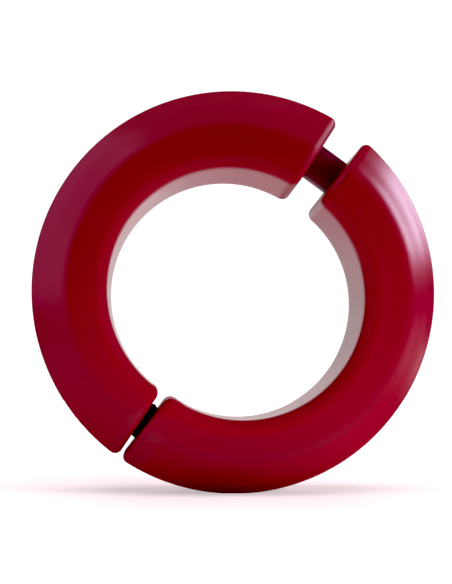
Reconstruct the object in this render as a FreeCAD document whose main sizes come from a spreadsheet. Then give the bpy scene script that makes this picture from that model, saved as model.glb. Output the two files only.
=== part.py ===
"""Hinged bangle in two cast resin halves.

Frame: millimetres, origin at the centre of the outer rim, +Z up, the band's width along Y,
the front face towards -Y. The ring stands on its rim.

Every sub-part is drawn in the bangle's own plane and then turned by one angle about Y. In that
plane X runs square to the cut between the halves, from the upper half to the lower half, and
Z runs along the cut, from the rubber hinge at -Z to the clasp at +Z.
"""
import FreeCAD, Part
import math
import os
import re

import Sketcher

Vector = FreeCAD.Vector
Rotation = FreeCAD.Rotation
Placement = FreeCAD.Placement

doc = FreeCAD.newDocument("bangle")

# ---------------------------------------------------------------- driving dimensions, mm and degrees
DIMENSIONS = {
    # the band
    "outer_radius": 50.4,  # one circle through both halves
    "inner_radius": 30.0,  # the arc of each half's inner wall
    "band_width": 24.0,  # front face to back face
    "rim_width": 11.0,  # the cylindrical part of the outer rim
    "inner_chamfer": 2.3,
    "end_round": 2.0,  # rounding round each end face
    "cut_turn": 34.0,  # turn of the whole ring about Y
    # upper half: the centre of its inner arc, its end plane, and its flat face's outer edge
    "upper_centre_x": -1.16,
    "upper_centre_z": -1.0,
    "upper_end_x": -1.55,
    "upper_end_lean": -0.5,
    "upper_face_radius": 40.0,
    # lower half
    "lower_centre_x": 2.67,
    "lower_centre_z": -0.76,
    "lower_end_x": 2.95,
    "lower_end_lean": 3.8,
    "lower_face_radius": 41.0,
    "rest_flat_half_width": 3.5,
    # clasp, measured from the mouth of its socket
    "peg_mouth_x": 5.566,
    "peg_mouth_z": 39.4,
    "peg_lean": 2.2,  # the peg follows the arc of the hinge
    "peg_radius": 4.7,
    "peg_tip_radius": 3.8,
    "peg_tip_round": 0.8,
    "peg_nose_length": 6.5,
    "peg_shaft_length": 18.5,  # bonded root and the part seen in the gap
    "liner_radius": 5.6,
    "liner_recess": 0.25,
    "liner_floor": 1.2,
    "socket_lead": 1.0,  # the bore starts this far outside the end plane, which leans
    "nose_clearance": 0.07,
    "nose_end_clearance": 0.3,
    "bond_gap": 0.05,
    # hinge
    "hinge_axis_x": -0.4,
    "hinge_axis_z": -48.4,
    "link_x": -0.4,
    "link_z": -39.7,
    "link_radius": 4.55,
    "link_length": 25.0,
    "link_clearance": 0.15,
    "pin_spacing": 17.0,
    "pin_radius": 1.25,
    "pin_length": 13.0,
    "pin_top_z": -32.4,
    "pin_clearance": 0.05,
    "plug_radius": 2.0,
}

sheet = doc.addObject("Spreadsheet::Sheet", "dimensions")
for row, (name, value) in enumerate(DIMENSIONS.items(), start=1):
    sheet.set(f"A{row}", name)
    sheet.set(f"B{row}", str(value))
    sheet.setAlias(f"B{row}", name)
doc.recompute()
SPARE_CELL = "D1"

FAR = 120.0  # further than any part of the ring, for cutting shapes
RING_TURN = Placement(Vector(0, 0, 0), Rotation(Vector(0, 1, 0), DIMENSIONS["cut_turn"]))


# ---------------------------------------------------------------- helpers
def expression(text):
    """An expression on the sheet: each dimension's name becomes its cell."""
    return re.sub(
        "[a-z_]+",
        lambda word: f"dimensions.{word[0]}" if word[0] in DIMENSIONS else word[0],
        text,
    )


def value_of(text):
    """The value of an expression, worked out in a spare cell of the sheet."""
    sheet.set(SPARE_CELL, f"={text}")
    sheet.recompute()
    value = float(sheet.get(SPARE_CELL))
    sheet.clear(SPARE_CELL)
    return value


def bind(thing, **sizes):
    """Bind properties to the sheet. A double underscore stands for the dot in a property's path."""
    for name, text in sizes.items():
        thing.setExpression(name.replace("__", "."), expression(text))


def new_body(label, place=RING_TURN):
    body = doc.addObject("PartDesign::Body", label)
    body.Label = label
    body.Placement = place
    return body


def new_sketch(body, name, role, **offset):
    """A sketch on one of the body's own origin planes, moved by bound offsets."""
    sketch = body.newObject("Sketcher::SketchObject", name)
    plane = next(item for item in body.Origin.OriginFeatures if item.Role == role)
    sketch.AttachmentSupport = [(plane, "")]
    sketch.MapMode = "FlatFace"
    bind(sketch, **{f"AttachmentOffset__{key}": text for key, text in offset.items()})
    return sketch


def size_constraint(sketch, constraint, text):
    """A dimensional constraint whose value comes from the sheet."""
    index = sketch.addConstraint(constraint)
    sketch.setExpression(f"Constraints[{index}]", expression(text))


def circle_sketch(body, name, radius, x="0", z="0", forward="0", start="0"):
    """A circle in the ring's plane, its centre at x, z, and forward of the band's middle.
    start is the angle where the circle begins, which is kept on the side that is cut away."""
    offset = {"Base__x": x, "Base__y": z, "Base__z": forward, "Rotation__Angle": start}
    sketch = new_sketch(body, name, "XZ_Plane", **offset)
    circle = sketch.addGeometry(Part.Circle(Vector(0, 0, 0), Vector(0, 0, 1), 1.0), False)
    sketch.addConstraint(Sketcher.Constraint("Coincident", circle, 3, -1, 1))
    size_constraint(sketch, Sketcher.Constraint("Radius", circle, 1.0), radius)
    return sketch


def outline_sketch(sketch, corners):
    """A closed outline of straight lines. A corner is (x, y), each an expression on the sheet."""
    points = [Vector(value_of(x), value_of(y), 0) for x, y in corners]
    for index, start in enumerate(points):
        finish = points[(index + 1) % len(points)]
        sketch.addGeometry(Part.LineSegment(start, finish), False)
    for index, (x, y) in enumerate(corners):
        before = (index - 1) % len(corners)
        sketch.addConstraint(Sketcher.Constraint("Coincident", before, 2, index, 1))
        for kind, text, axis in (("DistanceX", x, -2), ("DistanceY", y, -1)):
            value = value_of(text)
            if value == 0.0:
                sketch.addConstraint(Sketcher.Constraint("PointOnObject", index, 1, axis))
            elif value > 0.0:
                held = Sketcher.Constraint(kind, -1, 1, index, 1, value)
                size_constraint(sketch, held, text)
            else:
                held = Sketcher.Constraint(kind, index, 1, -1, 1, -value)
                size_constraint(sketch, held, f"-1 * ({text})")
    return sketch


def feature(body, kind, name, **properties):
    made = body.newObject(f"PartDesign::{kind}", name)
    for key, value in properties.items():
        setattr(made, key, value)
    return made


def cutting_cylinder(body, name, place, radius, length):
    """A round hole from place along its own Z."""
    hole = feature(body, "SubtractiveCylinder", name, Placement=place)
    bind(hole, Radius=radius, Height=length)
    doc.recompute()
    return hole


def along_x(x, z, lean=0.0):
    """A place at x, z in the ring's plane whose own Z runs along +X, leaning towards -Z."""
    return Placement(Vector(x, 0, z), Rotation(Vector(0, 1, 0), 90.0 + lean))


# ---------------------------------------------------------------- the two halves
def half_ring(label, name, away):
    """One half of the band. name is "upper" or "lower"; away is the side of X with no material."""
    body = new_body(label)
    half_rim = "rim_width / 2"
    half_band = "band_width / 2"

    # the cylindrical rim, and on each side the slope from the rim in to the flat face
    start = "0" if away > 0 else "180"
    circle = circle_sketch(body, "rim_circle", "outer_radius", start=start)
    rim = feature(body, "Pad", "rim", Profile=circle)
    rim.SideType = "Symmetric"
    bind(rim, Length="rim_width")
    centre = {"x": f"{name}_centre_x", "z": f"{name}_centre_z"}
    for side, sign in (("front", "1"), ("back", "-1")):
        outer = circle_sketch(
            body, f"{side}_rim_edge", "outer_radius", forward=f"{sign} * {half_rim}", start=start
        )
        face = circle_sketch(
            body,
            f"{side}_face_edge",
            f"{name}_face_radius",
            forward=f"{sign} * {half_band}",
            start=start,
            **centre,
        )
        doc.recompute()
        feature(body, "AdditiveLoft", f"{side}_slope", Profile=outer, Sections=[face])
        doc.recompute()

    # the inner wall and its chamfers
    opening = circle_sketch(body, "inner_wall_circle", "inner_radius", start=start, **centre)
    wall = feature(body, "Pocket", "inner_wall", Profile=opening)
    wall.Type = "ThroughAll"
    wall.SideType = "Symmetric"
    doc.recompute()
    centre_x = DIMENSIONS[f"{name}_centre_x"]
    centre_z = DIMENSIONS[f"{name}_centre_z"]
    for side, sign in (("front", -1), ("back", 1)):
        face_point = Vector(centre_x, sign * DIMENSIONS["band_width"] / 2, centre_z)
        inwards = Rotation(Vector(1, 0, 0), 90.0 * sign)
        chamfer = feature(body, "SubtractiveCone", f"{side}_chamfer")
        chamfer.Placement = Placement(face_point, inwards)
        bind(
            chamfer,
            Radius1="inner_radius + inner_chamfer",
            Radius2="inner_radius",
            Height="inner_chamfer",
        )
        doc.recompute()

    # the end planes: everything on the other half's side goes
    offset = {
        "Base__x": f"{name}_end_x",
        "Rotation__Angle": f"-1 * {name}_end_lean",
    }
    cut = new_sketch(body, "end_plane", "XZ_Plane", **offset)
    outline_sketch(cut, [("0", f"-1 * {FAR}"), (f"{away * FAR}", f"-1 * {FAR}"),
                         (f"{away * FAR}", f"{FAR}"), ("0", f"{FAR}")])
    ends = feature(body, "Pocket", "end_cut", Profile=cut)
    ends.Type = "ThroughAll"
    ends.SideType = "Symmetric"
    doc.recompute()
    return body


def end_edges(body, name, side):
    """Names of the edges round one of a half's end faces: side is 1 at the clasp, -1 at the hinge."""
    lean = math.tan(math.radians(DIMENSIONS[f"{name}_end_lean"]))
    end_x = DIMENSIONS[f"{name}_end_x"]
    found = []
    for index, edge in enumerate(body.Tip.Shape.Edges, start=1):
        middle = edge.valueAt((edge.FirstParameter + edge.LastParameter) / 2)
        points = [middle, edge.valueAt(edge.FirstParameter), edge.valueAt(edge.LastParameter)]
        in_plane = all(abs(point.x - end_x - lean * point.z) < 1e-4 for point in points)
        if in_plane and side * middle.z > 0:
            found.append(f"Edge{index}")
    return found


def round_ends(body, name):
    for end, side in (("clasp", 1), ("hinge", -1)):
        base = (body.Tip, end_edges(body, name, side))
        rounding = feature(body, "Fillet", f"{end}_end_rounding", Base=base)
        bind(rounding, Radius="end_round")
        doc.recompute()


# ---------------------------------------------------------------- places of the bores
# the peg's own frame: origin at the mouth of its socket, Z along the peg into the lower half
PEG_PLACE = along_x(
    DIMENSIONS["peg_mouth_x"], DIMENSIONS["peg_mouth_z"], lean=DIMENSIONS["peg_lean"]
)
LINER_END = "peg_nose_length + nose_end_clearance + liner_floor"
OUTWARDS = Rotation(Vector(1, 0, 0), 180)  # at the hinge, away from the ring's centre
PLUG_REACH = 5.0  # from a plug's seat to well inside the ring's opening


def moved_along(place, distance):
    """A place shifted along its own Z."""
    return place.multiply(Placement(Vector(0, 0, distance), Rotation()))


def pin_place(side):
    """Where a dowel's inner end sits: side is -1 in the upper half and 1 in the lower half."""
    x = DIMENSIONS["link_x"] + side * DIMENSIONS["pin_spacing"] / 2
    return Placement(Vector(x, 0, DIMENSIONS["pin_top_z"]), OUTWARDS)


def hinge_bores(body, side):
    """The blind bore for the rubber rod, the dowel's hole through it and the plug's hole."""
    depth = DIMENSIONS["link_length"] / 2 + DIMENSIONS["link_clearance"]
    start = DIMENSIONS["link_x"] + (0 if side > 0 else -depth)
    cutting_cylinder(
        body,
        "link_bore",
        along_x(start, DIMENSIONS["link_z"]),
        "link_radius + link_clearance",
        "link_length / 2 + link_clearance",
    )
    cutting_cylinder(
        body,
        "pin_hole",
        pin_place(side),
        "pin_radius + pin_clearance",
        "pin_length + pin_clearance",
    )
    cutting_cylinder(
        body,
        "plug_hole",
        moved_along(pin_place(side), -PLUG_REACH),
        "plug_radius + bond_gap",
        f"{PLUG_REACH}",
    )


# ---------------------------------------------------------------- upper half
upper_half = half_ring("upper_half", "upper", away=1)
round_ends(upper_half, "upper")
hinge_bores(upper_half, side=-1)
cutting_cylinder(
    upper_half,
    "peg_bore",
    moved_along(PEG_PLACE, -DIMENSIONS["peg_shaft_length"] - DIMENSIONS["bond_gap"]),
    "peg_radius + bond_gap",
    "peg_shaft_length",
)

# ---------------------------------------------------------------- lower half
lower_half = half_ring("lower_half", "lower", away=-1)
round_ends(lower_half, "lower")
hinge_bores(lower_half, side=1)
cutting_cylinder(
    lower_half,
    "socket_bore",
    moved_along(PEG_PLACE, -DIMENSIONS["socket_lead"]),
    "liner_radius + bond_gap",
    f"socket_lead + {LINER_END} + bond_gap",
)

# the small flat on the rim that the ring stands on: straight down once the ring is turned
flat_offset = {"Rotation__Angle": "cut_turn"}
flat_sketch = new_sketch(lower_half, "rest_flat_sketch", "XZ_Plane", **flat_offset)
flat_height = "sqrt(outer_radius ^ 2 - rest_flat_half_width ^ 2)"
flat_cut_half = 20.0  # wider than the flat, so the cut leaves the rim on both sides
outline_sketch(
    flat_sketch,
    [
        (f"-1 * {flat_cut_half}", f"-1 * {flat_height}"),
        (f"-1 * {flat_cut_half}", f"-1 * {FAR}"),
        (f"{flat_cut_half}", f"-1 * {FAR}"),
        (f"{flat_cut_half}", f"-1 * {flat_height}"),
    ],
)
rest_flat = feature(lower_half, "Pocket", "rest_flat", Profile=flat_sketch)
rest_flat.Type = "ThroughAll"
rest_flat.SideType = "Symmetric"
doc.recompute()


# ---------------------------------------------------------------- clasp
def turned_piece(label, place, corners):
    """A round piece: an outline in its own XZ plane turned about its own Z."""
    body = new_body(label, RING_TURN.multiply(place))
    outline = outline_sketch(new_sketch(body, "outline", "XZ_Plane"), corners)
    turning = feature(body, "Revolution", "turning", Profile=outline)
    turning.ReferenceAxis = (outline, ["V_Axis"])
    turning.Angle = 360.0
    doc.recompute()
    return body


clasp_peg = turned_piece(
    "clasp_peg",
    PEG_PLACE,
    [
        ("0", "-1 * peg_shaft_length"),
        ("peg_radius", "-1 * peg_shaft_length"),
        ("peg_radius", "0"),
        ("peg_tip_radius", "peg_nose_length"),
        ("0", "peg_nose_length"),
    ],
)
tip_edges = [
    f"Edge{index}"
    for index, edge in enumerate(clasp_peg.Tip.Shape.Edges, start=1)
    if edge.Closed and abs(edge.BoundBox.ZMin - DIMENSIONS["peg_nose_length"]) < 1e-4
]
tip = feature(clasp_peg, "Fillet", "tip_rounding", Base=(clasp_peg.Tip, tip_edges))
bind(tip, Radius="peg_tip_round")
doc.recompute()

socket_liner = turned_piece(
    "socket_liner",
    PEG_PLACE,
    [
        ("peg_radius + nose_clearance", "liner_recess"),
        ("liner_radius", "liner_recess"),
        ("liner_radius", LINER_END),
        ("0", LINER_END),
        ("0", "peg_nose_length + nose_end_clearance"),
        ("peg_tip_radius + nose_clearance", "peg_nose_length + nose_end_clearance"),
    ],
)

# ---------------------------------------------------------------- hinge
hinge_link = new_body("hinge_link")
rod = feature(hinge_link, "AdditiveCylinder", "rod")
rod.Placement = along_x(
    DIMENSIONS["link_x"] - DIMENSIONS["link_length"] / 2, DIMENSIONS["link_z"]
)
bind(rod, Radius="link_radius", Height="link_length")
doc.recompute()
for side in (-1, 1):
    cutting_cylinder(
        hinge_link,
        "pin_hole",
        pin_place(side),
        "pin_radius + pin_clearance",
        "pin_length + pin_clearance",
    )

for name, side in (("upper", -1), ("lower", 1)):
    # the steel dowel across the rod
    pin = doc.addObject("Part::Cylinder", f"link_pin_{name}")
    bind(pin, Radius="pin_radius", Height="pin_length")
    pin.Placement = RING_TURN.multiply(pin_place(side))

    # the plug over it, its face following the inner wall
    blank = doc.addObject("Part::Cylinder", f"plug_blank_{name}")
    bind(blank, Radius="plug_radius", Height=f"{PLUG_REACH}")
    seat = moved_along(pin_place(side), -PLUG_REACH)
    blank.Placement = RING_TURN.multiply(seat)
    wall = doc.addObject("Part::Cylinder", f"plug_trim_{name}")
    bind(wall, Radius="inner_radius", Height="band_width")
    corner = Vector(
        DIMENSIONS[f"{name}_centre_x"],
        -DIMENSIONS["band_width"] / 2,
        DIMENSIONS[f"{name}_centre_z"],
    )
    along_y = Rotation(Vector(1, 0, 0), -90)
    wall.Placement = RING_TURN.multiply(Placement(corner, along_y))
    plug = doc.addObject("Part::Cut", f"pin_plug_{name}")
    plug.Base = blank
    plug.Tool = wall

# ---------------------------------------------------------------- check and write
SUB_PARTS = [
    "lower_half",
    "upper_half",
    "clasp_peg",
    "socket_liner",
    "hinge_link",
    "link_pin_lower",
    "link_pin_upper",
    "pin_plug_lower",
    "pin_plug_upper",
]

doc.recompute()
failed = [item.Name for item in doc.Objects if {"Invalid", "Error"} & set(item.State)]
if failed:
    raise RuntimeError(f"failed objects: {failed}")
os.makedirs("parts", exist_ok=True)
for label in SUB_PARTS:
    shape = doc.getObjectsByLabel(label)[0].Shape
    if shape.isNull() or not shape.isValid() or len(shape.Solids) != 1:
        raise RuntimeError(f"{label} is not one valid solid")
    print(f"{label}: {shape.Volume:.1f} mm3")
    shape.exportStep(f"parts/{label}.step")

axis_point = RING_TURN.multVec(Vector(DIMENSIONS["hinge_axis_x"], 0, DIMENSIONS["hinge_axis_z"]))
print(f"hinge axis at x {axis_point.x:.3f}, z {axis_point.z:.3f}, along Y")
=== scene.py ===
"""Looks of the hinged resin bangle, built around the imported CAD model.

Metres, in the CAD model's frame: origin at the centre of the outer rim, +Z up, the front face
towards -Y. Each piece is drawn in millimetres in the ring's own plane, where X runs square to
the cut between the halves and Z along it, and is then turned about Y and scaled to metres.
"""
from math import acos, atan2, cos, pi, radians, sin, sqrt, tan

import bmesh
import bpy
from mathutils import Matrix, Vector


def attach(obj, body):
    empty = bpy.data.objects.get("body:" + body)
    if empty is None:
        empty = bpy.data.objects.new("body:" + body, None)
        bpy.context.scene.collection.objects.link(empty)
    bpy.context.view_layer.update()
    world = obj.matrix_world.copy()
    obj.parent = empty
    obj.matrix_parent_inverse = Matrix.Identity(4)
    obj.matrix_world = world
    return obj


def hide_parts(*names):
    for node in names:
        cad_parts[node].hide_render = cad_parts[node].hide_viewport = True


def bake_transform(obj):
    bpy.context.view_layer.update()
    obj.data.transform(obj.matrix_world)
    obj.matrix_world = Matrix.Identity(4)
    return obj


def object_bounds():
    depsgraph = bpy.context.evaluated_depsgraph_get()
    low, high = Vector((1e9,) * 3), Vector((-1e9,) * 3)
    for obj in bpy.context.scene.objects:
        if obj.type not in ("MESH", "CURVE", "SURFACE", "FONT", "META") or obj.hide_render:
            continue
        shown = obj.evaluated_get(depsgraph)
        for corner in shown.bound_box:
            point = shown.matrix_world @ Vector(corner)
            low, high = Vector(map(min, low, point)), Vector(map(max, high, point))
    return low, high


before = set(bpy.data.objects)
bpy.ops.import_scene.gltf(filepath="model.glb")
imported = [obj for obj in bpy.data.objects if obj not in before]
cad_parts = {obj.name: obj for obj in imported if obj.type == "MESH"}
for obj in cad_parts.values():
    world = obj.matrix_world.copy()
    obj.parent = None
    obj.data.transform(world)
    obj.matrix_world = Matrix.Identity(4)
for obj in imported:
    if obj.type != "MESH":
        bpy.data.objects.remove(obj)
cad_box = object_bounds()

MM = 0.001

# ---------------------------------------------------------------- driving dimensions, mm and degrees
OUTER_RADIUS = 50.4
INNER_RADIUS = 30.0
HALF_BAND = 12.0
HALF_RIM = 5.5
CHAMFER = 2.3
END_ROUND = 2.0
CUT_TURN = 34.0
REST_FLAT_HALF_WIDTH = 3.5
SLOPE_BULGE = 0.3  # how far the slopes swell past a straight line
CREASE_ROUND = 8.0  # where a slope meets the flat face
RIM_ROUND = 0.7
CHAMFER_ROUND = 3.2
LEAST_ROUND = 0.1

PEG_MOUTH = Vector((5.566, 39.4))
PEG_LEAN = 2.2
PEG_RADIUS = 4.7
PEG_TIP_RADIUS = 3.8
PEG_NOSE = 6.5
PEG_SHAFT = 18.5
LINER_RADIUS = 5.6
LINER_RECESS = 0.25
LINER_DEPTH = 8.0
NOSE_CLEARANCE = 0.07
NOSE_SPACE = 6.8
BOND_GAP = 0.05
BORE_LIP = 0.35
PEG_ROUND = 0.7
LINER_ROUND = 0.12
NEAR_AXIS = 0.3  # turned pieces are closed by a small fan inside this radius

LINK_PLACE = Vector((-0.4, -39.7))
LINK_RADIUS = 4.55
LINK_HALF = 12.5
LINK_CLEARANCE = 0.15
LINK_SWELL = 0.4  # the rubber bulges in the gap
LINK_SWELL_REACH = 1.2  # half the swell's length, as a share of half the gap
LINK_STRAIGHT_FROM = 2.0  # where the plain rod begins, measured the same way
LINK_SWELL_STEPS = 24
LINK_ROUND = 0.4
PIN_OFFSET = 8.5
PIN_HOLE_RADIUS = 1.3
PIN_TOP = -32.4
PIN_HOLE_END = -45.45
PLUG_HOLE_RADIUS = 2.05
PLUG_HOLE_START = -26.0

ARC_STEPS = 180  # along each half
CORNER_STEPS = 5  # round each corner of the section
ROUND_STEPS = 7  # round each end face
TURNED_STEPS = 72  # round each turned piece
FACE_ROWS = (0.05, 0.3, 0.6, 0.95)  # shares of the way from an end face's edge to its bore
BOTTOM_ROWS = (0.1, 0.5, 0.95, 1.0)  # shares of the way down a bore
SHARP = radians(35.0)

RING_TO_WORLD = Matrix.Rotation(radians(CUT_TURN), 4, "Y") @ Matrix.Scale(MM, 4)
RING_X = Matrix.Rotation(radians(CUT_TURN), 3, "Y") @ Vector((1, 0, 0))


# ---------------------------------------------------------------- mesh helpers
def mesh_object(name, loops):
    """A tube through loops of equally many points, in ring-plane mm, its ends closed by fans."""
    mesh = bmesh.new()
    rows = [[mesh.verts.new(point) for point in loop] for loop in loops]
    count = len(loops[0])
    for row, following in zip(rows, rows[1:]):
        for index in range(count):
            beside = (index + 1) % count
            mesh.faces.new((row[index], row[beside], following[beside], following[index]))
    for row in (rows[0], rows[-1]):
        middle = mesh.verts.new(sum((vert.co for vert in row), Vector()) / count)
        for index in range(count):
            mesh.faces.new((row[index], row[(index + 1) % count], middle))
    bmesh.ops.recalc_face_normals(mesh, faces=mesh.faces)
    mesh.transform(RING_TO_WORLD)
    data = bpy.data.meshes.new(name)
    mesh.to_mesh(data)
    mesh.free()
    piece = bpy.data.objects.new(name, data)
    bpy.context.scene.collection.objects.link(piece)
    return piece


def smooth(piece):
    """Smooth faces, with a crease at each sharp edge."""
    mesh = bmesh.new()
    mesh.from_mesh(piece.data)
    for face in mesh.faces:
        face.smooth = True
    for edge in mesh.edges:
        edge.smooth = edge.calc_face_angle(0.0) < SHARP
    mesh.to_mesh(piece.data)
    mesh.free()


def cut(piece, cutter):
    """Take the cutter's volume out of the piece and delete the cutter."""
    boolean = piece.modifiers.new("cut", "BOOLEAN")
    boolean.operation = "DIFFERENCE"
    boolean.solver = "EXACT"
    boolean.object = cutter
    bpy.context.view_layer.update()
    graph = bpy.context.evaluated_depsgraph_get()
    result = bpy.data.meshes.new_from_object(piece.evaluated_get(graph))
    piece.modifiers.clear()
    piece.data = result
    bpy.data.objects.remove(cutter)


def rounded(before, corner, after, radius):
    """Points of the arc that rounds the corner of an outline."""
    back = (before - corner).normalized()
    onward = (after - corner).normalized()
    half_turn = (pi - back.angle(onward)) / 2
    centre = corner + (back + onward).normalized() * (radius / cos(half_turn))
    start = corner + back * (radius * tan(half_turn)) - centre
    finish = corner + onward * (radius * tan(half_turn)) - centre
    sweep = atan2(start.x * finish.y - start.y * finish.x, start.dot(finish))
    return [
        centre + Matrix.Rotation(sweep * step / CORNER_STEPS, 2) @ start
        for step in range(CORNER_STEPS + 1)
    ]


def softened(outline, radius):
    """An open outline with each inner corner rounded."""
    points = [outline[0]]
    for before, corner, after in zip(outline, outline[1:], outline[2:]):
        points += rounded(before, corner, after, radius)
    return points + [outline[-1]]


def turned(name, outline, origin, axis):
    """A round solid: an outline of (radius, distance) turned about an axis in the ring's plane."""
    along = Vector((axis.x, 0, axis.y))
    across = Vector((-axis.y, 0, axis.x))
    base = Vector((origin.x, 0, origin.y))
    loops = []
    for point in outline:
        loop = []
        for step in range(TURNED_STEPS):
            angle = 2 * pi * step / TURNED_STEPS
            spoke = across * cos(angle) + Vector((0, 1, 0)) * sin(angle)
            loop.append(base + spoke * point[0] + along * point[1])
        loops.append(loop)
    return mesh_object(name, loops)


# ---------------------------------------------------------------- the two halves
CLASP = 1  # the ends of a half; the sign is that of the ring's Z there
HINGE = -1


class Half:
    """One half of the band. way is the side of X that it lies on; a bore is (origin, axis,
    radius, depth), its axis pointing into the half."""

    def __init__(self, name, way, centre, end_x, lean, face_radius, bores):
        self.name = name
        self.way = way
        self.centre = Vector(centre)
        self.end_x = end_x
        self.lean = radians(lean)
        self.face_radius = face_radius
        self.bores = bores

    def section(self, inset):
        """The closed outline (radius, y) of the band, moved inwards by inset."""
        corners = [
            Vector((INNER_RADIUS, HALF_BAND - CHAMFER)),
            Vector((INNER_RADIUS, CHAMFER - HALF_BAND)),
            Vector((INNER_RADIUS + CHAMFER, -HALF_BAND)),
            Vector((self.face_radius, -HALF_BAND)),
            Vector((OUTER_RADIUS, -HALF_RIM)),
            Vector((OUTER_RADIUS, HALF_RIM)),
            Vector((self.face_radius, HALF_BAND)),
            Vector((INNER_RADIUS + CHAMFER, HALF_BAND)),
        ]
        front = [CHAMFER_ROUND, CHAMFER_ROUND, CREASE_ROUND, RIM_ROUND]
        radii = [CHAMFER_ROUND] + front + [RIM_ROUND, CREASE_ROUND, CHAMFER_ROUND]
        between = [8, 1, 5, 8, 5, 8, 5, 1]  # points on each straight run
        bulges = [0, 0, 0, SLOPE_BULGE, 0, SLOPE_BULGE, 0, 0]
        count = len(corners)
        edges = [(corners[(k + 1) % count] - corners[k]).normalized() for k in range(count)]
        outwards = [Vector((edge.y, -edge.x)) for edge in edges]
        inner = []
        for k in range(count):
            mitre = outwards[k - 1] + outwards[k]
            inner.append(corners[k] - mitre * (inset / (1 + outwards[k - 1].dot(outwards[k]))))
        arcs = [
            rounded(inner[k - 1], inner[k], inner[(k + 1) % count], max(radii[k] - inset, LEAST_ROUND))
            for k in range(count)
        ]
        points = []
        for k in range(count):
            points += arcs[k]
            start = arcs[k][-1]
            finish = arcs[(k + 1) % count][0]
            for step in range(1, between[k] + 1):
                share = step / (between[k] + 1)
                swell = bulges[k] * (1 - (2 * share - 1) ** 2) ** 2
                points.append(start.lerp(finish, share) + outwards[k] * swell)
        return points

    def centre_at(self, radius):
        """Centre of the circle through the half at this radius: the inner arc's own centre up to
        the flat face's edge, and from there towards the rim's, which is the origin."""
        share = (radius - self.face_radius) / (OUTER_RADIUS - self.face_radius)
        return self.centre * (1 - min(max(share, 0.0), 1.0))

    def end_angle(self, centre, radius, end, depth):
        """Where a circle comes within depth of the plane of an end, CLASP or HINGE."""
        reach = self.way * depth
        reach -= (centre.x - self.end_x) * cos(self.lean) - centre.y * sin(self.lean)
        angle = end * acos(reach / radius) - self.lean
        if self.way < 0 and end == HINGE:
            angle += 2 * pi
        return angle

    def ring_loop(self, angle_of, inset):
        """A loop of the section, each point at its own angle."""
        loop = []
        for outer, inner in zip(self.section(0.0), self.section(inset)):
            centre = self.centre_at(outer.x)
            angle = angle_of(centre, inner.x)
            loop.append(
                Vector((centre.x + inner.x * cos(angle), inner.y, centre.y + inner.x * sin(angle)))
            )
        return loop

    def arc_loops(self):
        loops = []
        for step in range(1, ARC_STEPS):
            share = step / ARC_STEPS

            def angle_of(centre, radius):
                start = self.end_angle(centre, radius, CLASP, END_ROUND)
                finish = self.end_angle(centre, radius, HINGE, END_ROUND)
                return start + (finish - start) * share

            loops.append(self.ring_loop(angle_of, 0.0))
        return loops

    def end_loops(self, end):
        """From the start of the rounding over the end face and down to the bottom of its bore."""
        loops = []
        for step in range(ROUND_STEPS + 1):
            turn = pi / 2 * step / ROUND_STEPS
            depth = END_ROUND * (1 - sin(turn))
            inset = END_ROUND * (1 - cos(turn))
            loops.append(
                self.ring_loop(lambda c, r: self.end_angle(c, r, end, depth), inset)
            )
        origin, axis, radius, depth = self.bores[end]
        edge = loops[-1]
        mouth = self.bore_loop(edge, origin, axis, radius + BORE_LIP, 0.0)
        for share in FACE_ROWS:
            loops.append([a.lerp(b, share) for a, b in zip(edge, mouth)])
        loops.append(mouth)
        for step in range(1, CORNER_STEPS + 1):
            turn = pi / 2 * step / CORNER_STEPS
            width = radius + BORE_LIP * (1 - sin(turn))
            loops.append(self.bore_loop(edge, origin, axis, width, BORE_LIP * (1 - cos(turn))))
        base = Vector((origin.x, 0, origin.y)) + Vector((axis.x, 0, axis.y)) * depth
        lip = loops[-1]
        direction = Vector((axis.x, 0, axis.y))
        bottom = [point + direction * (base - point).dot(direction) for point in lip]
        for share in BOTTOM_ROWS:
            loops.append([a.lerp(b, share) for a, b in zip(lip, bottom)])
        return loops

    def bore_loop(self, edge, origin, axis, radius, sunk):
        """A circle round the bore's axis on the end plane, or sunk below it along the axis."""
        across = Vector((-axis.y, axis.x))
        count = len(edge)
        start = atan2(edge[0].y, (Vector((edge[0].x, edge[0].z)) - origin).dot(across))
        following = atan2(edge[1].y, (Vector((edge[1].x, edge[1].z)) - origin).dot(across))
        turning = 1 if sin(following - start) > 0 else -1
        slope = Vector((cos(self.lean), -sin(self.lean)))
        loop = []
        for index in range(count):
            angle = start + turning * 2 * pi * index / count
            flat = origin + across * (radius * cos(angle))
            rise = -(flat - Vector((self.end_x, 0))).dot(slope) / axis.dot(slope) + sunk
            flat += axis * rise
            loop.append(Vector((flat.x, radius * sin(angle), flat.y)))
        return loop

    def build(self):
        loops = self.end_loops(CLASP)[::-1] + self.arc_loops() + self.end_loops(HINGE)
        piece = mesh_object(f"{self.name}_half_moulding", loops)
        hole = [
            (PLUG_HOLE_RADIUS, PLUG_HOLE_START),
            (PLUG_HOLE_RADIUS, PIN_TOP),
            (PIN_HOLE_RADIUS, PIN_TOP),
            (PIN_HOLE_RADIUS, PIN_HOLE_END),
        ]
        place = Vector((LINK_PLACE.x + self.way * PIN_OFFSET, 0))
        cut(piece, turned("plug_hole_cutter", hole, place, Vector((0, 1))))
        return piece


def rest_flat(piece):
    """Press the bottom of the rim flat, where the ring stands."""
    floor = -sqrt(OUTER_RADIUS**2 - REST_FLAT_HALF_WIDTH**2) * MM
    for vert in piece.data.vertices:
        vert.co.z = max(vert.co.z, floor)


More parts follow.
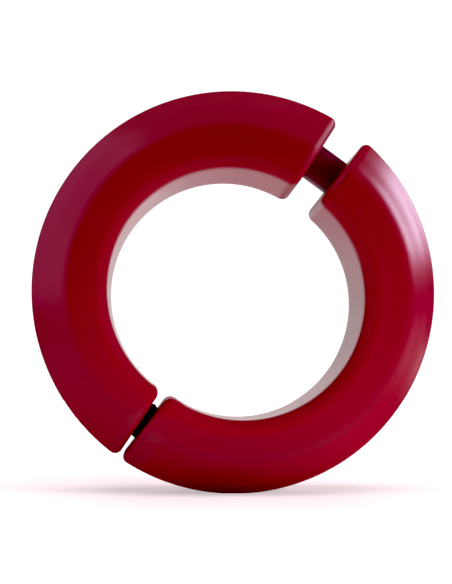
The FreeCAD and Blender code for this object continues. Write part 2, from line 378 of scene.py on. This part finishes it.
peg_axis = Vector((cos(radians(PEG_LEAN)), -sin(radians(PEG_LEAN))))
link_bore = (LINK_RADIUS + LINK_CLEARANCE, LINK_HALF + LINK_CLEARANCE)
upper_half = Half(
    "upper",
    way=-1,
    centre=(-1.16, -1.0),
    end_x=-1.55,
    lean=-0.5,
    face_radius=40.0,
    bores={
        CLASP: (PEG_MOUTH, -peg_axis, PEG_RADIUS + BOND_GAP, PEG_SHAFT + BOND_GAP),
        HINGE: (LINK_PLACE, Vector((-1, 0)), *link_bore),
    },
)
lower_half = Half(
    "lower",
    way=1,
    centre=(2.67, -0.76),
    end_x=2.95,
    lean=3.8,
    face_radius=41.0,
    bores={
        CLASP: (PEG_MOUTH, peg_axis, LINER_RADIUS + BOND_GAP, LINER_DEPTH + BOND_GAP),
        HINGE: (LINK_PLACE, Vector((1, 0)), *link_bore),
    },
)
halves = [upper_half, lower_half]


# ---------------------------------------------------------------- clasp and hinge pieces
def build_peg():
    """Bonded root, plain shaft, tapered nose with a rounded tip."""
    outline = [
        Vector((NEAR_AXIS, -PEG_SHAFT)),
        Vector((PEG_RADIUS, -PEG_SHAFT)),
        Vector((PEG_RADIUS, 0)),
        Vector((PEG_TIP_RADIUS, PEG_NOSE)),
        Vector((NEAR_AXIS, PEG_NOSE)),
    ]
    return turned("clasp_peg_turned", softened(outline, PEG_ROUND), PEG_MOUTH, peg_axis)


def build_liner():
    """The cup that the nose goes into, its rim softened."""
    mouth = PEG_RADIUS + NOSE_CLEARANCE
    seat = PEG_TIP_RADIUS + NOSE_CLEARANCE
    outline = [
        Vector((NEAR_AXIS, NOSE_SPACE)),
        Vector((seat, NOSE_SPACE)),
        Vector((mouth, LINER_RECESS)),
        Vector((LINER_RADIUS, LINER_RECESS)),
        Vector((LINER_RADIUS, LINER_DEPTH)),
        Vector((NEAR_AXIS, LINER_DEPTH)),
    ]
    return turned("socket_liner_cup", softened(outline, LINER_ROUND), PEG_MOUTH, peg_axis)


def gap_sides():
    """Where the hinge rod leaves the lower half and the upper half, as ring-plane X."""
    return [half.end_x + tan(half.lean) * LINK_PLACE.y for half in reversed(halves)]


def build_link():
    """The rubber rod: straight in its bores and swollen a little where it crosses the gap."""
    lower_side, upper_side = gap_sides()
    middle = (lower_side + upper_side) / 2 - LINK_PLACE.x
    half_gap = (lower_side - upper_side) / 2
    root = [
        Vector((NEAR_AXIS, -LINK_HALF)),
        Vector((LINK_RADIUS, -LINK_HALF)),
        Vector((LINK_RADIUS, middle - LINK_STRAIGHT_FROM * half_gap)),
    ]
    bulge = []
    for step in range(1, LINK_SWELL_STEPS):
        side = 2 * step / LINK_SWELL_STEPS - 1
        swell = LINK_SWELL * (1 - side**2) ** 2
        place = middle + LINK_SWELL_REACH * half_gap * side
        bulge.append(Vector((LINK_RADIUS + swell, place)))
    tip = [
        Vector((LINK_RADIUS, middle + LINK_STRAIGHT_FROM * half_gap)),
        Vector((LINK_RADIUS, LINK_HALF)),
        Vector((NEAR_AXIS, LINK_HALF)),
    ]
    outline = softened(root, LINK_ROUND) + bulge + softened(tip, LINK_ROUND)
    link = turned("hinge_link_rod", outline, LINK_PLACE, Vector((1, 0)))
    for side in (-1, 1):
        place = Vector((LINK_PLACE.x + side * PIN_OFFSET, 0))
        hole = [(PIN_HOLE_RADIUS, PIN_TOP), (PIN_HOLE_RADIUS, PIN_HOLE_END)]
        cut(link, turned("pin_hole_cutter", hole, place, Vector((0, 1))))
    return link


# ---------------------------------------------------------------- materials
COLOUR_INPUTS = (6, 7)  # the mix node's sockets for two colours
COLOUR_OUTPUT = 2


class Nodes:
    """Short calls for building one material's nodes."""

    def __init__(self, name):
        self.material = bpy.data.materials.new(name)
        self.material.use_nodes = True
        self.tree = self.material.node_tree
        self.shader = self.tree.nodes["Principled BSDF"]
        self.place = self.add("ShaderNodeTexCoord").outputs["Object"]

    def add(self, kind, **values):
        node = self.tree.nodes.new(kind)
        for key, value in values.items():
            if key in node.inputs:
                node.inputs[key].default_value = value
            else:
                setattr(node, key, value)
        return node

    def link(self, output, socket):
        self.tree.links.new(output, socket)

    def noise(self, scale, detail, stretch=(1, 1, 1)):
        """Soft noise from 0 to 1, its features about 1/scale metres long."""
        mapping = self.add("ShaderNodeMapping", Scale=stretch)
        self.link(self.place, mapping.inputs["Vector"])
        node = self.add("ShaderNodeTexNoise", Scale=scale, Detail=detail)
        self.link(mapping.outputs["Vector"], node.inputs["Vector"])
        return node.outputs["Fac"]

    def ramp(self, factor, low, high, start, finish):
        """The factor between low and high becomes start to finish."""
        node = self.add("ShaderNodeMapRange")
        node.inputs["From Min"].default_value = low
        node.inputs["From Max"].default_value = high
        node.inputs["To Min"].default_value = start
        node.inputs["To Max"].default_value = finish
        self.link(factor, node.inputs["Value"])
        return node.outputs["Result"]

    def mix(self, factor, first, second):
        """Between two colours, each given as a tuple or an output."""
        node = self.add("ShaderNodeMix", data_type="RGBA")
        self.link(factor, node.inputs["Factor"])
        for value, socket in zip((first, second), COLOUR_INPUTS):
            if isinstance(value, tuple):
                node.inputs[socket].default_value = (*value, 1.0)
            else:
                self.link(value, node.inputs[socket])
        return node.outputs[COLOUR_OUTPUT]

    def math(self, operation, first, second=0.0):
        node = self.add("ShaderNodeMath", operation=operation)
        for value, socket in zip((first, second), node.inputs):
            if isinstance(value, (int, float)):
                socket.default_value = value
            else:
                self.link(value, socket)
        return node.outputs[0]

    def bump(self, height, distance, strength, before=None):
        node = self.add("ShaderNodeBump", Distance=distance, Strength=strength)
        self.link(height, node.inputs["Height"])
        if before is not None:
            self.link(before, node.inputs["Normal"])
        return node.outputs["Normal"]


END_WEAR = (1.6, 2.8)  # mm from the end plane
CHAMFER_WEAR = (33.5, 36.0)  # mm from the middle of the half's inner arc
FACE_WEAR = (9.2, 10.2)  # mm from the middle of the band
EDGE_DULLING = 0.22  # added roughness
FULL_SHINE = 0.5
END_SHINE = 0.38
CHAMFER_LOSS = 0.4
LEAST_SHINE = 0.08


def worn_edges(nodes, half):
    """Two masks, each 1 where a half is duller: round its end faces, and along its chamfers."""
    along = nodes.add("ShaderNodeVectorMath", operation="DOT_PRODUCT")
    along.inputs[1].default_value = RING_X
    nodes.link(nodes.place, along.inputs[0])
    from_end = nodes.math("SUBTRACT", along.outputs["Value"], half.end_x * MM)
    from_end = nodes.math("ABSOLUTE", from_end)
    ends = nodes.ramp(from_end, END_WEAR[0] * MM, END_WEAR[1] * MM, 1.0, 0.0)
    middle = nodes.add("ShaderNodeVectorMath", operation="SUBTRACT")
    middle.inputs[1].default_value = RING_TO_WORLD @ Vector((half.centre.x, 0, half.centre.y))
    nodes.link(nodes.place, middle.inputs[0])
    parts = nodes.add("ShaderNodeSeparateXYZ")
    nodes.link(middle.outputs["Vector"], parts.inputs[0])
    across = nodes.math("MULTIPLY", parts.outputs["X"], parts.outputs["X"])
    upright = nodes.math("MULTIPLY", parts.outputs["Z"], parts.outputs["Z"])
    radius = nodes.math("SQRT", nodes.math("ADD", across, upright))
    inner = nodes.ramp(radius, CHAMFER_WEAR[0] * MM, CHAMFER_WEAR[1] * MM, 1.0, 0.0)
    sideways = nodes.math("ABSOLUTE", parts.outputs["Y"])
    facing = nodes.ramp(sideways, FACE_WEAR[0] * MM, FACE_WEAR[1] * MM, 0.0, 1.0)
    return ends, nodes.math("MULTIPLY", inner, facing)


def resin(name, deep, bright, roughness, half=None):
    """Polished cast resin: faint clouding in the colour, satin wear and a fine grain."""
    nodes = Nodes(name)
    cloud = nodes.noise(38.0, detail=4.0)
    colour = nodes.mix(nodes.ramp(cloud, 0.2, 0.8, 0.0, 1.0), deep, bright)
    nodes.link(colour, nodes.shader.inputs["Base Color"])

    smear = nodes.noise(120.0, detail=2.0, stretch=(1.0, 0.5, 1.0))
    worn = nodes.ramp(smear, 0.1, 0.9, roughness - 0.02, roughness + 0.03)
    if half:
        ends, chamfers = worn_edges(nodes, half)
        edges = nodes.math("MAXIMUM", ends, chamfers)
        worn = nodes.math("ADD", worn, nodes.math("MULTIPLY", edges, EDGE_DULLING))
        shine = nodes.ramp(ends, 0.0, 1.0, FULL_SHINE, END_SHINE)
        shine = nodes.math("SUBTRACT", shine, nodes.math("MULTIPLY", chamfers, CHAMFER_LOSS))
        shine = nodes.math("MAXIMUM", shine, LEAST_SHINE)
        nodes.link(shine, nodes.shader.inputs["Specular IOR Level"])
    nodes.link(worn, nodes.shader.inputs["Roughness"])

    ripple = nodes.noise(160.0, detail=2.0)
    grain = nodes.noise(1800.0, detail=2.0)
    normal = nodes.bump(ripple, 0.00002, 0.3)
    normal = nodes.bump(grain, 0.000004, 0.4, before=normal)
    nodes.link(normal, nodes.shader.inputs["Normal"])
    nodes.shader.inputs["IOR"].default_value = 1.4
    return nodes.material


CLEAN_RUBBER = (0.045, 0.046, 0.043)
DUSTY_RUBBER = (0.062, 0.064, 0.06)


def rubber():
    """Moulded black rubber: matt, with a fine grain and a dusty bloom."""
    nodes = Nodes("rubber_black")
    grain = nodes.noise(2400.0, detail=3.0)
    bloom = nodes.noise(260.0, detail=4.0)
    dust = nodes.ramp(bloom, 0.4, 0.75, 0.0, 1.0)
    colour = nodes.mix(dust, CLEAN_RUBBER, DUSTY_RUBBER)
    nodes.link(colour, nodes.shader.inputs["Base Color"])
    nodes.link(nodes.ramp(bloom, 0.3, 0.7, 0.55, 0.8), nodes.shader.inputs["Roughness"])
    nodes.link(nodes.bump(grain, 0.00006, 0.6), nodes.shader.inputs["Normal"])
    return nodes.material


DARK_STEEL = (0.5, 0.5, 0.51)
PALE_STEEL = (0.68, 0.68, 0.69)


def steel():
    """A ground steel dowel: fine marks round its axis."""
    nodes = Nodes("ground_steel")
    marks = nodes.noise(3000.0, detail=2.0, stretch=(1.0, 0.1, 1.0))
    colour = nodes.mix(marks, DARK_STEEL, PALE_STEEL)
    nodes.link(colour, nodes.shader.inputs["Base Color"])
    nodes.shader.inputs["Metallic"].default_value = 1.0
    nodes.link(nodes.ramp(marks, 0.3, 0.7, 0.22, 0.4), nodes.shader.inputs["Roughness"])
    nodes.link(nodes.bump(marks, 0.00001, 0.4), nodes.shader.inputs["Normal"])
    return nodes.material


DEEP_RED = (0.20, 0.0002, 0.014)
BRIGHT_RED = (0.23, 0.0002, 0.017)
RING_ROUGHNESS = 0.28
# painted shade: the peg is the ring's own red resin, and these darker reds paint in the shade it sits
# in between the two end faces
PEG_SHADED_DEEP_RED = (0.12, 0.0003, 0.016)
PEG_SHADED_BRIGHT_RED = (0.14, 0.0003, 0.024)
PEG_ROUGHNESS = 0.3
for half in halves:
    half.material = resin(f"resin_red_{half.name}", DEEP_RED, BRIGHT_RED, RING_ROUGHNESS, half)
peg_resin_shaded = resin("resin_red_peg_shaded", PEG_SHADED_DEEP_RED, PEG_SHADED_BRIGHT_RED, PEG_ROUGHNESS)
black_rubber = rubber()
ground_steel = steel()


def paint(piece, material):
    piece.data.materials.clear()
    piece.data.materials.append(material)


# ---------------------------------------------------------------- camera
CAMERA_PLACE = (-0.01927, -0.21453, -0.02005)
CAMERA_YAW = 2.545
CAMERA_PITCH = 2.810
camera_data = bpy.data.cameras.new("camera")
camera_data.lens = 52.05
camera_data.sensor_width = 36.0
camera_data.shift_x = 0.0531
camera_data.shift_y = 0.0634
camera_data.clip_start = 0.01
camera = bpy.data.objects.new("camera", camera_data)
camera.location = CAMERA_PLACE
camera.rotation_euler = (radians(90.0 + CAMERA_PITCH), 0.0, radians(-CAMERA_YAW))
bpy.context.scene.collection.objects.link(camera)
bpy.context.scene.camera = camera

# ---------------------------------------------------------------- pieces on their bodies
BODY = {"upper": "upper_ring", "lower": "lower_ring"}
for half in halves:
    moulding = half.build()
    if half.name == "lower":
        rest_flat(moulding)
    smooth(moulding)
    paint(moulding, half.material)
    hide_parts(f"{half.name}_half")
    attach(moulding, BODY[half.name])
    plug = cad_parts[f"pin_plug_{half.name}"]
    plug.material_slots[0].material = half.material
    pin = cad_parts[f"link_pin_{half.name}"]
    pin.material_slots[0].material = ground_steel

peg = build_peg()
smooth(peg)
paint(peg, peg_resin_shaded)
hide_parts("clasp_peg")
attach(peg, BODY["upper"])

liner = build_liner()
smooth(liner)
paint(liner, black_rubber)
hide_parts("socket_liner")
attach(liner, BODY["lower"])

link = build_link()
smooth(link)
paint(link, black_rubber)
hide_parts("hinge_link")
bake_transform(link)

# ---------------------------------------------------------------- floor and light
FLOOR_FRONT = -0.16
FLOOR_BACK = 1.2
FLOOR_SIDE = 0.26
SHADOW_REACH = 0.10  # the floor takes the ring's shadow up to here
GLOW_REACH = 0.26  # and from here on it is as white as the backdrop
PAPER_GLOW = 0.5
# what the paper throws back onto the ring: places in metres, then strengths
FRONT_BOUNCE_FADE = (-0.022, -0.05)
FRONT_BOUNCE = 3.1
RIGHT_BOUNCE_FADE = (0.0, 0.05)
RIGHT_BOUNCE = 1.2
BOUNCE_REACH = (0.06, 0.11)
FAR_BOUNCE = 0.15
# what the ring mirrors of the paper: it is bright behind and beside the ring, not in front
BACK_FADE = (0.03, 0.10)
BACK_SHINE = 1.0
RIGHT_FADE = (0.08, 0.16)
RIGHT_SHINE = 0.9
LEFT_FADE = (-0.05, -0.12)
LEFT_SHINE = 0.3
PAPER_DIM = (0.9, 0.9, 0.9)
PAPER_PALE = (0.94, 0.94, 0.94)
PAPER_ROUGHNESS = 0.9
# painted bounce light: the pink in the paper's colour to the eye and in its glow colour paints red
# light thrown from the ring into the ring's shadow
PAPER_SEEN = (0.50, 0.46, 0.48)
PAPER_MIRRORED = (0.02, 0.02, 0.02)
PAINTED_PINK_BOUNCE = (1.0, 0.88, 0.92, 1.0)


def build_floor():
    """A sheet of white paper, lit by the lamps near the ring and evenly white further off. Its glow
    and its colour to the eye are tinted pink: painted red light bounced from the ring into the ring's
    shadow.
    """
    front = [(-FLOOR_SIDE, FLOOR_FRONT), (FLOOR_SIDE, FLOOR_FRONT)]
    back = [(FLOOR_SIDE, FLOOR_BACK), (-FLOOR_SIDE, FLOOR_BACK)]
    data = bpy.data.meshes.new("floor")
    data.from_pydata([(x, y, cad_box[0].z) for x, y in front + back], [], [(0, 1, 2, 3)])
    floor = bpy.data.objects.new("floor", data)
    bpy.context.scene.collection.objects.link(floor)
    nodes = Nodes("floor_paper")
    grain = nodes.noise(300.0, detail=2.0)
    ray = nodes.add("ShaderNodeLightPath")
    parts = nodes.add("ShaderNodeSeparateXYZ")
    nodes.link(nodes.place, parts.inputs[0])
    distance = nodes.add("ShaderNodeVectorMath", operation="LENGTH")
    nodes.link(nodes.place, distance.inputs[0])

    paper = nodes.mix(grain, PAPER_DIM, PAPER_PALE)
    in_gloss = nodes.mix(ray.outputs["Is Glossy Ray"], paper, PAPER_MIRRORED)
    in_view = nodes.mix(ray.outputs["Is Camera Ray"], in_gloss, PAPER_SEEN)
    nodes.link(in_view, nodes.shader.inputs["Base Color"])
    nodes.shader.inputs["Roughness"].default_value = PAPER_ROUGHNESS
    nodes.shader.inputs["Specular IOR Level"].default_value = 0.0
    nodes.shader.inputs["Emission Color"].default_value = PAINTED_PINK_BOUNCE

    glow = nodes.ramp(distance.outputs["Value"], SHADOW_REACH, GLOW_REACH, PAPER_GLOW, 1.0)
    seen = nodes.math("MULTIPLY", glow, ray.outputs["Is Camera Ray"])

    ahead = nodes.ramp(parts.outputs["Y"], *FRONT_BOUNCE_FADE, 0.0, FRONT_BOUNCE)
    aside = nodes.ramp(parts.outputs["X"], *RIGHT_BOUNCE_FADE, 0.0, RIGHT_BOUNCE)
    near = nodes.ramp(distance.outputs["Value"], *BOUNCE_REACH, 1.0, FAR_BOUNCE)
    lit = nodes.math("MULTIPLY", nodes.math("ADD", ahead, aside), near)
    bounce = nodes.math("MULTIPLY", lit, ray.outputs["Is Diffuse Ray"])

    behind = nodes.ramp(parts.outputs["Y"], *BACK_FADE, 0.0, BACK_SHINE)
    right = nodes.ramp(parts.outputs["X"], *RIGHT_FADE, 0.0, RIGHT_SHINE)
    left = nodes.ramp(parts.outputs["X"], *LEFT_FADE, 0.0, LEFT_SHINE)
    shine = nodes.math("ADD", behind, nodes.math("ADD", right, left))
    mirrored = nodes.math("MULTIPLY", shine, ray.outputs["Is Glossy Ray"])

    strength = nodes.math("ADD", nodes.math("ADD", seen, bounce), mirrored)
    nodes.link(strength, nodes.shader.inputs["Emission Strength"])
    paint(floor, nodes.material)


def soft_light(name, azimuth, elevation, distance, width, height, power, colour, mirrored=False):
    """A softbox aimed at the ring. Azimuth 0 is in front, 90 is at the right. It either lights
    the ring or is a card that shows only as a reflection in it."""
    turn = radians(azimuth)
    rise = radians(elevation)
    place = Vector((sin(turn) * cos(rise), -cos(turn) * cos(rise), sin(rise))) * distance
    data = bpy.data.lights.new(name, "AREA")
    data.shape = "RECTANGLE"
    data.size = width
    data.size_y = height
    data.energy = power
    data.color = colour
    light = bpy.data.objects.new(name, data)
    light.location = place
    light.rotation_euler = place.to_track_quat("Z", "Y").to_euler()
    light.visible_camera = False
    light.visible_glossy = mirrored
    light.visible_diffuse = not mirrored
    bpy.context.scene.collection.objects.link(light)


WORLD_SEEN = 1.2
WORLD_DARK = 0.02
WORLD_BRIGHT = 1.3
WORLD_FADE = (0.75, 0.93)  # the share of a direction that points backwards, +Y


def build_world():
    """White to the eye; what the ring mirrors is bright behind it and dark in front of it."""
    world = bpy.data.worlds.new("studio")
    world.use_nodes = True
    tree = world.node_tree
    direction = tree.nodes.new("ShaderNodeTexCoord")
    parts = tree.nodes.new("ShaderNodeSeparateXYZ")
    fade = tree.nodes.new("ShaderNodeMapRange")
    fade.inputs["From Min"].default_value = WORLD_FADE[0]
    fade.inputs["From Max"].default_value = WORLD_FADE[1]
    fade.inputs["To Min"].default_value = WORLD_DARK
    fade.inputs["To Max"].default_value = WORLD_BRIGHT
    ray = tree.nodes.new("ShaderNodeLightPath")
    strength = tree.nodes.new("ShaderNodeMix")
    strength.inputs["B"].default_value = WORLD_SEEN
    background = tree.nodes["Background"]
    tree.links.new(direction.outputs["Generated"], parts.inputs[0])
    tree.links.new(parts.outputs["Y"], fade.inputs["Value"])
    tree.links.new(ray.outputs["Is Camera Ray"], strength.inputs["Factor"])
    tree.links.new(fade.outputs["Result"], strength.inputs["A"])
    tree.links.new(strength.outputs["Result"], background.inputs["Strength"])
    background.inputs["Color"].default_value = (1.0, 1.0, 1.0, 1.0)
    bpy.context.scene.world = world


BLACK_LEVEL = 0.017  # the darkest tones run together, as in a contrasty print
WHITE = (1.0, 1.0, 1.0)
ROSE = (1.0, 0.46, 0.86)
PALE_BLUE = (0.68, 0.84, 1.0)
MAGENTA = (1.0, 0.5, 0.9)
PINK = (1.0, 0.45, 0.75)

build_floor()
build_world()
tone = bpy.context.scene.view_settings
tone.view_transform = "Standard"
tone.use_curve_mapping = True
tone.curve_mapping.black_level = (BLACK_LEVEL, BLACK_LEVEL, BLACK_LEVEL)
tone.curve_mapping.update()

# name, azimuth and elevation in degrees, distance, width and height in metres, watts, colour
soft_light("overhead", 0.0, 88.0, 0.9, 1.2, 0.8, 12.5, WHITE)
soft_light("back_fill", 180.0, 10.0, 0.6, 0.5, 0.5, 3.0, WHITE)
soft_light("key", 68.0, 17.0, 0.8, 0.2, 0.2, 4.5, WHITE)
soft_light("left_fill", -68.0, 12.0, 0.8, 0.4, 0.5, 1.3, WHITE)
soft_light("left_card", -70.0, 30.0, 0.7, 0.75, 0.84, 3.0, ROSE, mirrored=True)
soft_light("right_card", 91.0, 28.0, 0.7, 0.32, 0.28, 3.4, PALE_BLUE, mirrored=True)
soft_light("right_halo", 92.0, 27.0, 0.72, 0.46, 0.36, 1.8, MAGENTA, mirrored=True)
soft_light("low_card", 82.0, -10.0, 0.5, 0.4, 0.12, 0.22, PINK, mirrored=True)
